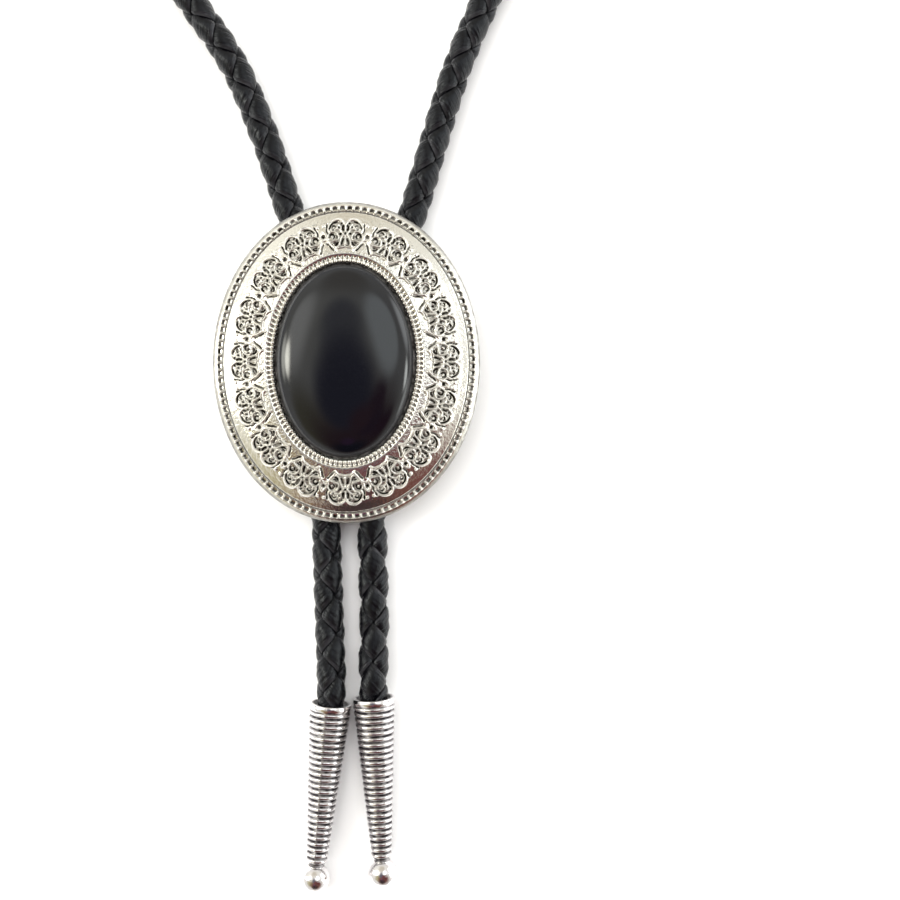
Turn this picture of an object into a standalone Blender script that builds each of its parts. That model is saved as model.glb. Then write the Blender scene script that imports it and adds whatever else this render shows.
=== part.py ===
"""Bolo tie lying flat with its face up.

An oval cast concho holds a black cabochon. A plain clasp behind it carries the two
runs of a round braided cord, whose loop goes round the neck and whose two ends sit
in ribbed tips with a ball. Lengths are in metres, +Z is up, +Y runs from the tips
towards the neck, and the origin is where the clasp rests, under the concho's middle.
"""

from math import asin, cos, pi, radians, sin

import bmesh
import bpy
import numpy as np
from mathutils import Vector

MM = 0.001

# Clearance between pieces that sit in or on each other.
GAP = 0.3 * MM

# Oval opening that the stone sits in, as half sizes, and the stone itself.
OPENING_HALF_X = 9.78 * MM
OPENING_HALF_Y = 13.62 * MM
STONE_GIRDLE = 0.6 * MM
STONE_DOME = 2.9 * MM
STONE_FULLNESS = 2.4

# Bands of the concho, from the opening outwards, as widths.
BEAD_BAND = 0.8 * MM
INNER_LAND = 1.2 * MM
MOTIF_BAND = 4.65 * MM
OUTER_LAND = 0.75 * MM
RIM_GROOVE = 0.3 * MM
TOOTH_BAND = 0.65 * MM
RIM_SLOPE = 0.7 * MM

# Heights and walls of the concho.
PLATE_THICKNESS = 1.2 * MM
POCKET_DEPTH = 0.9 * MM
RIM_CLEARANCE = 0.8 * MM
RIM_HEIGHT = 1.5 * MM
RIM_WALL = 1.2 * MM
BEAD_HEIGHT = 0.3 * MM
TOOTH_HEIGHT = 0.35 * MM
GROOVE_DEPTH = 0.25 * MM
RELIEF_HEIGHT = 0.35 * MM

BEAD_COUNT = 120
TOOTH_COUNT = 120
MOTIF_COUNT = 16
SECTORS_PER_MOTIF = 16
MOTIF_ROWS = 6
BACK_SECTORS = 60

# One motif as raised lobes, all as shares: place along the motif's pitch, place across
# the band from its inner edge, half width of the pitch, half height of the band, rise.
MOTIF_LOBES = (
    (-0.22, 0.67, 0.19, 0.30, 1.00),
    (0.22, 0.67, 0.19, 0.30, 1.00),
    (-0.16, 0.22, 0.14, 0.20, 0.85),
    (0.16, 0.22, 0.14, 0.20, 0.85),
    (0.00, 0.42, 0.07, 0.16, 0.70),
    (-0.50, 0.50, 0.09, 0.18, 0.60),
    (0.50, 0.50, 0.09, 0.18, 0.60),
)

# Braided cord.
CORD_DIAMETER = 4.3 * MM
CORD_END_DIAMETER = 3.2 * MM
CORD_STEP = 12.5 * MM
CORD_SIDE_RESOLUTION = 3

# Clasp behind the concho, with a straight tunnel for each run of the cord.
RUN_SPACING = 6.5 * MM
CLASP_WALL = 0.7 * MM
CLASP_LOW_Y = -9.0 * MM
CLASP_HIGH_Y = 3.0 * MM
CLASP_ROUNDING = 0.5 * MM
TUNNEL_SIDES = 24

# Straight lead of the cord beyond each end of the clasp.
CLASP_RUN_OUT = 1.0 * MM

# Height of the cord above its lie on the floor where it comes down behind the clasp.
CORD_LIFT = 0.5 * MM

# Ribbed tips: lengths are from the mouth along the axis.
COLLAR_DIAMETER = 6.05 * MM
COLLAR_LENGTH = 0.9 * MM
RIB_COUNT = 26
RIB_PITCH = 0.855 * MM
RIB_DEPTH = 0.22 * MM
LAST_RIB_DIAMETER = 3.0 * MM
NECK_DIAMETER = 2.0 * MM
BALL_DIAMETER = 4.25 * MM
BALL_DISTANCE = 25.5 * MM
BALL_STEPS = 7
SOCKET_DEPTH = 6.0 * MM
SOCKET_TAPER = 2.0 * MM
MOUTH_CHAMFER = 0.12 * MM
TIP_SIDES = 12
LEFT_MOUTH = (-2.48 * MM, -48.55 * MM)
RIGHT_MOUTH = (3.68 * MM, -47.70 * MM)
LEFT_LEAN = radians(-5.2)
RIGHT_LEAN = radians(2.7)

# Places worked out from the sizes above.
CORD_RADIUS = CORD_DIAMETER / 2
TUNNEL_RADIUS = CORD_RADIUS + GAP
FLOOR_RUN_Z = CORD_RADIUS
TUNNEL_Z = CLASP_WALL + TUNNEL_RADIUS
CLASP_TOP_Z = TUNNEL_Z + TUNNEL_RADIUS + CLASP_WALL
CLASP_WIDTH = RUN_SPACING + 2 * TUNNEL_RADIUS + 2 * CLASP_WALL
PLATE_UNDER_Z = CLASP_TOP_Z + GAP
POCKET_FLOOR_Z = PLATE_UNDER_Z + PLATE_THICKNESS
FACE_INNER_Z = POCKET_FLOOR_Z + POCKET_DEPTH
RIM_UNDER_Z = CORD_DIAMETER + RIM_CLEARANCE
FACE_OUTER_Z = RIM_UNDER_Z + RIM_HEIGHT
MOTIF_START = BEAD_BAND + INNER_LAND
MOTIF_END = MOTIF_START + MOTIF_BAND
FACE_END = MOTIF_END + OUTER_LAND
TEETH_START = FACE_END + RIM_GROOVE
TEETH_END = TEETH_START + TOOTH_BAND
RIM_END = TEETH_END + RIM_SLOPE
COLLAR_RADIUS = COLLAR_DIAMETER / 2
BALL_RADIUS = BALL_DIAMETER / 2
TIP_SLOPE = asin((COLLAR_RADIUS - BALL_RADIUS) / BALL_DISTANCE)
RUN_X = RUN_SPACING / 2

# The cord's own route between the mouths of the two tips: up the left run, round the
# neck and down the right run, on the floor outside the clasp's tunnels.
CORD_ROUTE = (
    (-2.72 * MM, -37.5 * MM, FLOOR_RUN_Z),
    (-3.15 * MM, -24.5 * MM, FLOOR_RUN_Z),
    (-RUN_X, CLASP_LOW_Y - CLASP_RUN_OUT, TUNNEL_Z),
    (-RUN_X, (CLASP_LOW_Y + CLASP_HIGH_Y) / 2, TUNNEL_Z),
    (-RUN_X, CLASP_HIGH_Y + CLASP_RUN_OUT, TUNNEL_Z),
    (-5.20 * MM, 12.0 * MM, FLOOR_RUN_Z + CORD_LIFT),
    (-8.45 * MM, 22.0 * MM, FLOOR_RUN_Z),
    (-11.95 * MM, 32.5 * MM, FLOOR_RUN_Z),
    (-16.45 * MM, 43.0 * MM, FLOOR_RUN_Z),
    (-22.8 * MM, 52.5 * MM, FLOOR_RUN_Z),
    (-37.5 * MM, 74.0 * MM, FLOOR_RUN_Z),
    (-59.0 * MM, 104.5 * MM, FLOOR_RUN_Z),
    (-79.0 * MM, 139.5 * MM, FLOOR_RUN_Z),
    (-92.5 * MM, 179.5 * MM, FLOOR_RUN_Z),
    (-97.0 * MM, 221.0 * MM, FLOOR_RUN_Z),
    (-89.0 * MM, 262.0 * MM, FLOOR_RUN_Z),
    (-68.0 * MM, 296.0 * MM, FLOOR_RUN_Z),
    (-36.5 * MM, 318.5 * MM, FLOOR_RUN_Z),
    (1.0 * MM, 325.8 * MM, FLOOR_RUN_Z),
    (38.5 * MM, 318.0 * MM, FLOOR_RUN_Z),
    (69.0 * MM, 294.5 * MM, FLOOR_RUN_Z),
    (89.5 * MM, 260.5 * MM, FLOOR_RUN_Z),
    (96.5 * MM, 219.0 * MM, FLOOR_RUN_Z),
    (90.5 * MM, 177.5 * MM, FLOOR_RUN_Z),
    (75.0 * MM, 138.0 * MM, FLOOR_RUN_Z),
    (53.5 * MM, 104.5 * MM, FLOOR_RUN_Z),
    (33.5 * MM, 76.5 * MM, FLOOR_RUN_Z),
    (19.8 * MM, 52.5 * MM, FLOOR_RUN_Z),
    (15.75 * MM, 43.0 * MM, FLOOR_RUN_Z),
    (12.45 * MM, 32.5 * MM, FLOOR_RUN_Z),
    (9.35 * MM, 22.0 * MM, FLOOR_RUN_Z),
    (5.85 * MM, 12.0 * MM, FLOOR_RUN_Z + CORD_LIFT),
    (RUN_X, CLASP_HIGH_Y + CLASP_RUN_OUT, TUNNEL_Z),
    (RUN_X, (CLASP_LOW_Y + CLASP_HIGH_Y) / 2, TUNNEL_Z),
    (RUN_X, CLASP_LOW_Y - CLASP_RUN_OUT, TUNNEL_Z),
    (3.42 * MM, -24.5 * MM, FLOOR_RUN_Z),
    (3.68 * MM, -36.5 * MM, FLOOR_RUN_Z),
)


def clear_scene():
    for obj in list(bpy.data.objects):
        bpy.data.objects.remove(obj, do_unlink=True)


def principled(name, color, roughness, metallic):
    material = bpy.data.materials.new(name)
    material.use_nodes = True
    shader = material.node_tree.nodes["Principled BSDF"]
    shader.inputs["Base Color"].default_value = (*color, 1.0)
    shader.inputs["Roughness"].default_value = roughness
    shader.inputs["Metallic"].default_value = metallic
    return material


def silver(name):
    return principled(name, (0.80, 0.79, 0.76), 0.18, 1.0)


def black_stone(name):
    return principled(name, (0.012, 0.010, 0.015), 0.06, 0.0)


def black_leather(name):
    return principled(name, (0.022, 0.021, 0.023), 0.45, 0.0)


def link(obj):
    bpy.context.scene.collection.objects.link(obj)
    return obj


def mesh_object(name, bm, material, sharp_angle=radians(35)):
    bmesh.ops.recalc_face_normals(bm, faces=bm.faces)
    mesh = bpy.data.meshes.new(name)
    bm.to_mesh(mesh)
    bm.free()
    mesh.shade_smooth()
    mesh.set_sharp_from_angle(angle=sharp_angle)
    mesh.materials.append(material)
    return link(bpy.data.objects.new(name, mesh))


def oval(offset, count):
    """Evenly spaced points on the curve that runs `offset` outside the opening."""
    turn = np.linspace(0.0, 2 * pi, 1441)
    normal_x = OPENING_HALF_Y * np.sin(turn)
    normal_y = OPENING_HALF_X * np.cos(turn)
    length = np.hypot(normal_x, normal_y)
    x = OPENING_HALF_X * np.sin(turn) + offset * normal_x / length
    y = OPENING_HALF_Y * np.cos(turn) + offset * normal_y / length
    run = np.concatenate(([0.0], np.cumsum(np.hypot(np.diff(x), np.diff(y)))))
    stops = np.linspace(0.0, run[-1], count, endpoint=False)
    return list(zip(np.interp(stops, run, x), np.interp(stops, run, y)))


def stitch(bm, first, second):
    """Close the strip between two rings, which may differ in their number of points."""
    i = 0
    j = 0
    while i < len(first) or j < len(second):
        here = first[i % len(first)]
        there = second[j % len(second)]
        if (i + 1) * len(second) <= (j + 1) * len(first):
            i += 1
            bm.faces.new((here, there, first[i % len(first)]))
        else:
            j += 1
            bm.faces.new((here, there, second[j % len(second)]))


def loft(bm, rings):
    """Join the rings one after another and close both ends with a fan."""
    levels = []
    for ring in rings:
        levels.append([bm.verts.new(point) for point in ring])
    for first, second in zip(levels, levels[1:]):
        stitch(bm, first, second)
    for ring in (levels[0], levels[-1]):
        middle = bm.verts.new(sum((v.co for v in ring), Vector()) / len(ring))
        for k, vertex in enumerate(ring):
            bm.faces.new((vertex, ring[(k + 1) % len(ring)], middle))


def level_ring(offset, height, count):
    return [(x, y, height) for x, y in oval(offset, count)]


def waved_ring(offset, height, rise, wave_count):
    """A ring whose every second point stands up, one crest for each bead or tooth."""
    points = oval(offset, 2 * wave_count)
    return [(x, y, height + rise * (k % 2)) for k, (x, y) in enumerate(points)]


def face_height(offset):
    """Height of the concho's domed face, without its relief."""
    share = (offset - BEAD_BAND) / (FACE_END - BEAD_BAND)
    return FACE_INNER_Z + (FACE_OUTER_Z - FACE_INNER_Z) * share ** 1.5


def relief(along, across):
    """Raised height of the motif at shares of its pitch and of its band."""
    best = 0.0
    for place, level, half_width, half_height, rise in MOTIF_LOBES:
        reach = ((along - place) / half_width) ** 2 + ((across - level) / half_height) ** 2
        best = max(best, rise * min(1.0, 2.0 * max(0.0, 1.0 - reach)))
    return RELIEF_HEIGHT * best


def motif_ring(across):
    offset = MOTIF_START + MOTIF_BAND * across
    points = oval(offset, MOTIF_COUNT * SECTORS_PER_MOTIF)
    ring = []
    for k, (x, y) in enumerate(points):
        along = (k / SECTORS_PER_MOTIF + 0.5) % 1.0 - 0.5
        ring.append((x, y, face_height(offset) + relief(along, across)))
    return ring


def concho_rings():
    """All rings of the concho, from the pocket's floor over the face to the back."""
    rings = [
        level_ring(0.0, POCKET_FLOOR_Z, BACK_SECTORS),
        level_ring(0.0, FACE_INNER_Z - BEAD_HEIGHT / 2, 2 * BEAD_COUNT),
        waved_ring(BEAD_BAND / 2, FACE_INNER_Z, BEAD_HEIGHT, BEAD_COUNT),
        level_ring(BEAD_BAND, FACE_INNER_Z - BEAD_HEIGHT / 2, 2 * BEAD_COUNT),
        level_ring(BEAD_BAND + INNER_LAND / 4, face_height(BEAD_BAND), 2 * BEAD_COUNT),
    ]
    for row in range(MOTIF_ROWS + 1):
        rings.append(motif_ring(row / MOTIF_ROWS))
    rings += [
        level_ring(FACE_END, FACE_OUTER_Z, 2 * TOOTH_COUNT),
        level_ring(FACE_END + RIM_GROOVE / 2, FACE_OUTER_Z - GROOVE_DEPTH, 2 * TOOTH_COUNT),
        waved_ring(TEETH_START, FACE_OUTER_Z - TOOTH_HEIGHT / 2, TOOTH_HEIGHT, TOOTH_COUNT),
        waved_ring(TEETH_END, FACE_OUTER_Z - TOOTH_HEIGHT, TOOTH_HEIGHT, TOOTH_COUNT),
        level_ring(RIM_END, RIM_UNDER_Z + RIM_SLOPE, TOOTH_COUNT),
        level_ring(TEETH_END, RIM_UNDER_Z, BACK_SECTORS),
        level_ring(RIM_END - RIM_WALL, RIM_UNDER_Z, BACK_SECTORS),
        level_ring(RIM_END - RIM_WALL - RIM_SLOPE, hollow_edge_z(), BACK_SECTORS),
        level_ring(MOTIF_START, PLATE_UNDER_Z, BACK_SECTORS),
    ]
    return rings


def hollow_edge_z():
    """Underside at the foot of the rim's wall, one plate's thickness below the face."""
    return face_height(RIM_END - RIM_WALL - RIM_SLOPE) - PLATE_THICKNESS


def make_concho():
    bm = bmesh.new()
    loft(bm, concho_rings())
    return mesh_object("concho", bm, silver("concho_silver"))


def make_stone():
    """Oval cabochon with an upright girdle and a full, rounded dome."""
    sectors = 48
    rows = 8
    base_z = POCKET_FLOOR_Z + GAP
    top_of_girdle = base_z + STONE_GIRDLE
    half_x = OPENING_HALF_X - GAP
    half_y = OPENING_HALF_Y - GAP
    sections = [(1.0, base_z)]
    for row in range(rows):
        turn = row / rows * pi / 2
        reach = cos(turn) ** (2 / STONE_FULLNESS)
        rise = sin(turn) ** (2 / STONE_FULLNESS)
        sections.append((reach, top_of_girdle + STONE_DOME * rise))
    rings = []
    for reach, height in sections:
        ring = []
        for k in range(sectors):
            turn = 2 * pi * k / sectors
            ring.append((half_x * reach * sin(turn), half_y * reach * cos(turn), height))
        rings.append(ring)
    bm = bmesh.new()
    loft(bm, rings)
    top = max(bm.verts, key=lambda vertex: (vertex.co.z, -vertex.co.xy.length))
    top.co.z = top_of_girdle + STONE_DOME
    return mesh_object("stone", bm, black_stone("stone_black"))


def tunnel_cutter(side, x):
    bm = bmesh.new()
    bmesh.ops.create_cone(
        bm,
        cap_ends=True,
        segments=TUNNEL_SIDES,
        radius1=TUNNEL_RADIUS,
        radius2=TUNNEL_RADIUS,
        depth=2 * (CLASP_HIGH_Y - CLASP_LOW_Y),
    )
    cutter = mesh_object("tunnel_cutter_" + side, bm, silver("cutter_" + side))
    cutter.rotation_euler = (pi / 2, 0.0, 0.0)
    cutter.location = (x, (CLASP_LOW_Y + CLASP_HIGH_Y) / 2, TUNNEL_Z)
    cutter.hide_render = True
    cutter.display_type = "WIRE"
    return cutter


def make_clasp():
    """Plain rounded block under the concho, with a tunnel for each run of the cord."""
    size = Vector((CLASP_WIDTH, CLASP_HIGH_Y - CLASP_LOW_Y, CLASP_TOP_Z))
    middle = Vector((0.0, (CLASP_LOW_Y + CLASP_HIGH_Y) / 2, CLASP_TOP_Z / 2))
    bm = bmesh.new()
    bmesh.ops.create_cube(bm, size=1.0)
    for vertex in bm.verts:
        vertex.co = vertex.co * size + middle
    clasp = mesh_object("clasp", bm, silver("clasp_silver"))
    bevel = clasp.modifiers.new("rounding", "BEVEL")
    bevel.width = CLASP_ROUNDING
    bevel.segments = 2
    for side, x in (("left", -RUN_X), ("right", RUN_X)):
        cut = clasp.modifiers.new("tunnel_" + side, "BOOLEAN")
        cut.operation = "DIFFERENCE"
        cut.solver = "EXACT"
        cut.object = tunnel_cutter(side, x)
    return clasp


def tip_axis(mouth, lean):
    """The tip's mouth and its direction towards the ball, lying on collar and ball."""
    start = Vector((mouth[0], mouth[1], COLLAR_RADIUS * cos(TIP_SLOPE)))
    direction = Vector((
        sin(lean) * cos(TIP_SLOPE),
        -cos(lean) * cos(TIP_SLOPE),
        -sin(TIP_SLOPE),
    ))
    return start, direction


def tip_profile():
    """Radius and distance from the mouth: socket, collar, ribs, neck and ball."""
    end_radius = CORD_END_DIAMETER / 2 + GAP
    profile = [
        (0.0, SOCKET_DEPTH),
        (end_radius, SOCKET_DEPTH),
        (end_radius, SOCKET_TAPER),
        (TUNNEL_RADIUS, 0.0),
        (COLLAR_RADIUS - MOUTH_CHAMFER, 0.0),
        (COLLAR_RADIUS, MOUTH_CHAMFER),
        (COLLAR_RADIUS, COLLAR_LENGTH),
    ]
    last_radius = LAST_RIB_DIAMETER / 2
    for rib in range(RIB_COUNT):
        crest = COLLAR_RADIUS + (last_radius - COLLAR_RADIUS) * (rib + 1) / RIB_COUNT
        start = COLLAR_LENGTH + rib * RIB_PITCH
        profile.append((crest - RIB_DEPTH, start + RIB_PITCH * 0.2))
        profile.append((crest, start + RIB_PITCH * 0.7))
    neck_radius = NECK_DIAMETER / 2
    ribs_end = COLLAR_LENGTH + RIB_COUNT * RIB_PITCH
    profile.append((neck_radius, ribs_end + RIB_PITCH * 0.2))
    neck_turn = asin(neck_radius / BALL_RADIUS)
    for step in range(BALL_STEPS + 1):
        turn = neck_turn + (pi - neck_turn) * step / BALL_STEPS
        radius = max(0.0, BALL_RADIUS * sin(turn))
        profile.append((radius, BALL_DISTANCE - BALL_RADIUS * cos(turn)))
    profile[-1] = (0.0, BALL_DISTANCE + BALL_RADIUS)
    return profile


def make_tip(name, mouth, lean):
    start, direction = tip_axis(mouth, lean)
    bm = bmesh.new()
    line = [bm.verts.new((radius, 0.0, distance)) for radius, distance in tip_profile()]
    edges = [bm.edges.new(pair) for pair in zip(line, line[1:])]
    bmesh.ops.spin(
        bm,
        geom=line + edges,
        axis=(0.0, 0.0, 1.0),
        cent=(0.0, 0.0, 0.0),
        angle=2 * pi,
        steps=TIP_SIDES,
        use_merge=True,
    )
    bmesh.ops.remove_doubles(bm, verts=bm.verts, dist=0.005 * MM)
    tip = mesh_object(name, bm, silver(name + "_silver"), radians(50))
    tip.rotation_mode = "QUATERNION"
    tip.rotation_quaternion = direction.to_track_quat("Z", "X")
    tip.location = start
    return tip


def full_route():
    """The route with both ends carried into the sockets of the tips."""
    left_start, left_way = tip_axis(LEFT_MOUTH, LEFT_LEAN)
    right_start, right_way = tip_axis(RIGHT_MOUTH, RIGHT_LEAN)
    depth = SOCKET_DEPTH - GAP
    left = [left_start + left_way * depth, left_start + left_way * SOCKET_TAPER, left_start]
    right = [right_start, right_start + right_way * SOCKET_TAPER, right_start + right_way * depth]
    return left + [Vector(point) for point in CORD_ROUTE] + right


def smooth_route(points, longest_step):
    """Points on a smooth curve through all of the route's points, none far apart."""
    marks = np.array([tuple(point) for point in points])
    spans = np.linalg.norm(np.diff(marks, axis=0), axis=1)
    slopes = np.diff(marks, axis=0) / spans[:, None]
    tangents = np.empty_like(marks)
    tangents[0] = slopes[0]
    tangents[-1] = slopes[-1]
    before = spans[:-1, None]
    after = spans[1:, None]
    tangents[1:-1] = (slopes[:-1] * after + slopes[1:] * before) / (before + after)
    pieces = []
    for k, span in enumerate(spans):
        steps = np.linspace(0.0, 1.0, max(1, round(span / longest_step)), endpoint=False)[:, None]
        pieces.append(
            (2 * steps**3 - 3 * steps**2 + 1) * marks[k]
            + (steps**3 - 2 * steps**2 + steps) * span * tangents[k]
            + (3 * steps**2 - 2 * steps**3) * marks[k + 1]
            + (steps**3 - steps**2) * span * tangents[k + 1]
        )
    curve = np.vstack(pieces + [marks[-1:]])
    curve[:, 2] = np.maximum(curve[:, 2], CORD_RADIUS)
    return curve


def make_cord():
    """One round cord from socket to socket, squeezed thinner inside the tips."""
    points = smooth_route(full_route(), CORD_STEP)
    curve = bpy.data.curves.new("cord", "CURVE")
    curve.dimensions = "3D"
    curve.bevel_depth = CORD_RADIUS
    curve.bevel_resolution = CORD_SIDE_RESOLUTION
    curve.use_fill_caps = True
    spline = curve.splines.new("POLY")
    spline.points.add(len(points) - 1)
    for place, point in zip(spline.points, points):
        place.co = (*point, 1.0)
    for place in (*spline.points[:2], *spline.points[-2:]):
        place.radius = CORD_END_DIAMETER / CORD_DIAMETER
    curve.materials.append(black_leather("cord_leather"))
    return link(bpy.data.objects.new("cord", curve))


def main():
    clear_scene()
    make_concho()
    make_stone()
    make_clasp()
    make_cord()
    make_tip("tip_left", LEFT_MOUTH, LEFT_LEAN)
    make_tip("tip_right", RIGHT_MOUTH, RIGHT_LEAN)


main()
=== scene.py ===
"""Looks of the bolo tie: fine metal relief, stone, braided leather, tips, light and camera."""

from math import asin, cos, pi, radians, sin, tan

import bpy
import numpy as np
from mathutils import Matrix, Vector


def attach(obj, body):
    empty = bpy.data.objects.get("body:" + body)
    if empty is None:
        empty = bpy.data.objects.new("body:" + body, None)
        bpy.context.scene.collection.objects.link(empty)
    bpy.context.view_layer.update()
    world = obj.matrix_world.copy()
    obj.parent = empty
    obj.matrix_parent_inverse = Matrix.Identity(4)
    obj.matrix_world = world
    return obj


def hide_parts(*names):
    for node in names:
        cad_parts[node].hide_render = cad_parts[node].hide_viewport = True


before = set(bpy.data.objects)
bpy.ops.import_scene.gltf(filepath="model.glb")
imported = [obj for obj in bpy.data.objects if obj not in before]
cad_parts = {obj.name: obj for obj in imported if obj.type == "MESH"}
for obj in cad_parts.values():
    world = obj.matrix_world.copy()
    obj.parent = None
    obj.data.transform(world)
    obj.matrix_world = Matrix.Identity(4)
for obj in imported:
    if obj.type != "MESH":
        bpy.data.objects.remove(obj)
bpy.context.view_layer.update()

MM = 0.001

# Sizes shared with the construction.
GAP = 0.3 * MM
OPENING_HALF_X = 9.78 * MM
OPENING_HALF_Y = 13.62 * MM
STONE_GIRDLE = 0.6 * MM
STONE_DOME = 2.9 * MM
STONE_FULLNESS = 2.4
BEAD_BAND = 0.8 * MM
INNER_LAND = 1.2 * MM
MOTIF_BAND = 4.65 * MM
OUTER_LAND = 0.75 * MM
RIM_GROOVE = 0.3 * MM
TOOTH_BAND = 0.65 * MM
RIM_SLOPE = 0.7 * MM
PLATE_THICKNESS = 1.2 * MM
POCKET_DEPTH = 0.9 * MM
RIM_CLEARANCE = 0.8 * MM
RIM_HEIGHT = 1.5 * MM
RIM_WALL = 1.2 * MM
BEAD_HEIGHT = 0.3 * MM
TOOTH_HEIGHT = 0.35 * MM
GROOVE_DEPTH = 0.25 * MM
BEAD_COUNT = 120
TOOTH_COUNT = 120
MOTIF_COUNT = 16
CORD_DIAMETER = 4.3 * MM
CORD_END_DIAMETER = 3.2 * MM
RUN_SPACING = 6.5 * MM
CLASP_WALL = 0.7 * MM
CLASP_LOW_Y = -9.0 * MM
CLASP_HIGH_Y = 3.0 * MM
CLASP_RUN_OUT = 1.0 * MM
CORD_LIFT = 0.5 * MM
COLLAR_DIAMETER = 6.05 * MM
COLLAR_LENGTH = 0.9 * MM
RIB_COUNT = 26
RIB_PITCH = 0.855 * MM
LAST_RIB_DIAMETER = 3.0 * MM
NECK_DIAMETER = 2.0 * MM
BALL_DIAMETER = 4.25 * MM
BALL_DISTANCE = 25.5 * MM
SOCKET_DEPTH = 6.0 * MM
SOCKET_TAPER = 2.0 * MM
LEFT_MOUTH = (-2.48 * MM, -48.55 * MM)
RIGHT_MOUTH = (3.68 * MM, -47.70 * MM)
LEFT_LEAN = radians(-5.2)
RIGHT_LEAN = radians(2.7)

# Places worked out from those sizes.
CORD_RADIUS = CORD_DIAMETER / 2
TUNNEL_RADIUS = CORD_RADIUS + GAP
FLOOR_RUN_Z = CORD_RADIUS
TUNNEL_Z = CLASP_WALL + TUNNEL_RADIUS
PLATE_UNDER_Z = TUNNEL_Z + TUNNEL_RADIUS + CLASP_WALL + GAP
POCKET_FLOOR_Z = PLATE_UNDER_Z + PLATE_THICKNESS
FACE_INNER_Z = POCKET_FLOOR_Z + POCKET_DEPTH
RIM_UNDER_Z = CORD_DIAMETER + RIM_CLEARANCE
FACE_OUTER_Z = RIM_UNDER_Z + RIM_HEIGHT
MOTIF_START = BEAD_BAND + INNER_LAND
MOTIF_END = MOTIF_START + MOTIF_BAND
FACE_END = MOTIF_END + OUTER_LAND
TEETH_START = FACE_END + RIM_GROOVE
TEETH_END = TEETH_START + TOOTH_BAND
RIM_END = TEETH_END + RIM_SLOPE
COLLAR_RADIUS = COLLAR_DIAMETER / 2
BALL_RADIUS = BALL_DIAMETER / 2
RIBS_END = COLLAR_LENGTH + RIB_COUNT * RIB_PITCH
TIP_SLOPE = asin((COLLAR_RADIUS - BALL_RADIUS) / BALL_DISTANCE)
RUN_X = RUN_SPACING / 2

# The cord's route between the tips' mouths, the same as in the construction.
CORD_ROUTE = (
    (-2.72 * MM, -37.5 * MM, FLOOR_RUN_Z),
    (-3.15 * MM, -24.5 * MM, FLOOR_RUN_Z),
    (-RUN_X, CLASP_LOW_Y - CLASP_RUN_OUT, TUNNEL_Z),
    (-RUN_X, (CLASP_LOW_Y + CLASP_HIGH_Y) / 2, TUNNEL_Z),
    (-RUN_X, CLASP_HIGH_Y + CLASP_RUN_OUT, TUNNEL_Z),
    (-5.20 * MM, 12.0 * MM, FLOOR_RUN_Z + CORD_LIFT),
    (-8.45 * MM, 22.0 * MM, FLOOR_RUN_Z),
    (-11.95 * MM, 32.5 * MM, FLOOR_RUN_Z),
    (-16.45 * MM, 43.0 * MM, FLOOR_RUN_Z),
    (-22.8 * MM, 52.5 * MM, FLOOR_RUN_Z),
    (-37.5 * MM, 74.0 * MM, FLOOR_RUN_Z),
    (-59.0 * MM, 104.5 * MM, FLOOR_RUN_Z),
    (-79.0 * MM, 139.5 * MM, FLOOR_RUN_Z),
    (-92.5 * MM, 179.5 * MM, FLOOR_RUN_Z),
    (-97.0 * MM, 221.0 * MM, FLOOR_RUN_Z),
    (-89.0 * MM, 262.0 * MM, FLOOR_RUN_Z),
    (-68.0 * MM, 296.0 * MM, FLOOR_RUN_Z),
    (-36.5 * MM, 318.5 * MM, FLOOR_RUN_Z),
    (1.0 * MM, 325.8 * MM, FLOOR_RUN_Z),
    (38.5 * MM, 318.0 * MM, FLOOR_RUN_Z),
    (69.0 * MM, 294.5 * MM, FLOOR_RUN_Z),
    (89.5 * MM, 260.5 * MM, FLOOR_RUN_Z),
    (96.5 * MM, 219.0 * MM, FLOOR_RUN_Z),
    (90.5 * MM, 177.5 * MM, FLOOR_RUN_Z),
    (75.0 * MM, 138.0 * MM, FLOOR_RUN_Z),
    (53.5 * MM, 104.5 * MM, FLOOR_RUN_Z),
    (33.5 * MM, 76.5 * MM, FLOOR_RUN_Z),
    (19.8 * MM, 52.5 * MM, FLOOR_RUN_Z),
    (15.75 * MM, 43.0 * MM, FLOOR_RUN_Z),
    (12.45 * MM, 32.5 * MM, FLOOR_RUN_Z),
    (9.35 * MM, 22.0 * MM, FLOOR_RUN_Z),
    (5.85 * MM, 12.0 * MM, FLOOR_RUN_Z + CORD_LIFT),
    (RUN_X, CLASP_HIGH_Y + CLASP_RUN_OUT, TUNNEL_Z),
    (RUN_X, (CLASP_LOW_Y + CLASP_HIGH_Y) / 2, TUNNEL_Z),
    (RUN_X, CLASP_LOW_Y - CLASP_RUN_OUT, TUNNEL_Z),
    (3.42 * MM, -24.5 * MM, FLOOR_RUN_Z),
    (3.68 * MM, -36.5 * MM, FLOOR_RUN_Z),
)

# Camera: straight above the tie, right of and below the concho's middle.
CAMERA_AT = (14.6 * MM, -12.33 * MM, 186.6 * MM)
PHOTO_WIDTH = 900
FOCAL_PIXELS = 1282.0
SENSOR_WIDTH = 36.0

# Braid: four flat laces, two each way, over one and under one.
BRAID_PITCH = 11.3 * MM
LACE_THICKNESS = 0.92 * MM
LACE_WIDTH = 3.75 * MM
LACE_WEAVE = 0.46 * MM
LACE_FILL = 0.98
LACE_SECTION_POINTS = 16
BRAID_SWELL = 0.06 * MM
LACE_STEP = pi / 8
ROUTE_STEP = 0.25 * MM
WEAVE_FLATNESS = 1.8
# Beyond LOOP_Y the cord is the neck loop, and within HIDDEN_Y the concho covers it.
LOOP_Y = 60.0 * MM
HIDDEN_Y = 20.0 * MM
# Unevenness of a lace: height in mm, turn per mm, and shift by the lace and across it.
WRINKLES = (
    (0.026, 2.9, 2.1, 0.0),
    (0.020, 5.3, 0.0, 2.2),
    (0.014, 1.27, 1.9, 1.0),
)

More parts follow.
